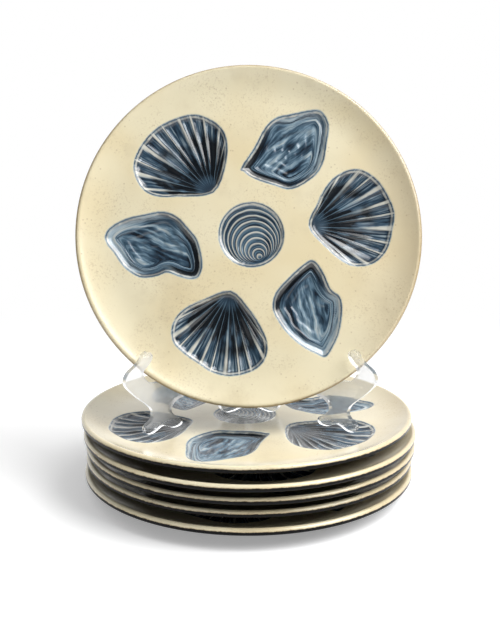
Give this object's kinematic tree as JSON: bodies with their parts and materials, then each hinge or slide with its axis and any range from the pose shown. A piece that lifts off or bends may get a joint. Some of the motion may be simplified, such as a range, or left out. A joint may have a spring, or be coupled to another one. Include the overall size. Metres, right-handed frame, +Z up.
{
  "type": "oyster plate",
  "caption": "Round glazed stoneware oyster plates with moulded scallop, oyster and clam wells: a stack, and one shown upright on a clear folding easel.",
  "frame": {"origin": "middle of the set's footprint on the table, under the stack's axis", "axes": "+Z up, -Y towards the viewer that the shown plate faces, +X to that viewer's right"},
  "size_m": [0.253, 0.258, 0.3119],
  "materials": {
    "glazed_stoneware": "cream gloss glaze in front, black gloss glaze behind, blue wiped into the shell wells",
    "clear_plastic": "clear moulded plastic with a fine frosted flat face"
  },
  "bodies": {
    "plate_1": {"stack_plate_1": "glazed_stoneware"},
    "plate_2": {"stack_plate_2": "glazed_stoneware"},
    "plate_3": {"stack_plate_3": "glazed_stoneware"},
    "plate_4": {"stack_plate_4": "glazed_stoneware"},
    "plate_5": {"stack_plate_5": "glazed_stoneware"},
    "easel_hinge": {"easel_hinge_pin": "clear_plastic"},
    "left_panel": {"easel_left_panel": "clear_plastic"},
    "right_panel": {"easel_right_panel": "clear_plastic"},
    "shown_plate": {"display_plate": "glazed_stoneware"}
  },
  "joints": [
    {"name": "plate_2_lift", "type": "slide", "parent": "plate_1", "child": "plate_2", "axis": [0, 0, 1], "range_m": [0, 0.04]},
    {"name": "plate_3_lift", "type": "slide", "parent": "plate_2", "child": "plate_3", "axis": [0, 0, 1], "range_m": [0, 0.04]},
    {"name": "plate_4_lift", "type": "slide", "parent": "plate_3", "child": "plate_4", "axis": [0, 0, 1], "range_m": [0, 0.04]},
    {"name": "plate_5_lift", "type": "slide", "parent": "plate_4", "child": "plate_5", "axis": [0, 0, 1], "range_m": [0, 0.04]},
    {"name": "easel_lift", "type": "slide", "parent": "plate_5", "child": "easel_hinge", "axis": [0, 0, 1], "range_m": [0, 0.0488]},
    {"name": "shown_plate_lift", "type": "slide", "parent": "easel_hinge", "child": "shown_plate", "axis": [0, 0, 1], "range_m": [0, 0.196]},
    {"name": "right_panel_fold", "type": "hinge", "parent": "easel_hinge", "child": "right_panel", "pos_m": [0.0004, 0.0166, 0.0516], "axis": [-0.0035, -0.0001, 1], "range_deg": [-49, 0]},
    {"name": "left_panel_fold", "type": "hinge", "parent": "easel_hinge", "child": "left_panel", "pos_m": [0.0004, 0.0166, 0.0516], "axis": [-0.0035, -0.0001, 1], "range_deg": [0, 49]}
  ],
  "couplings": [
    {"joint": "shown_plate_lift", "follows": "easel_lift", "ratio": 4},
    {"joint": "right_panel_fold", "follows": "easel_lift", "rad_per_m": -17.45},
    {"joint": "left_panel_fold", "follows": "easel_lift", "rad_per_m": 17.45}
  ]
}
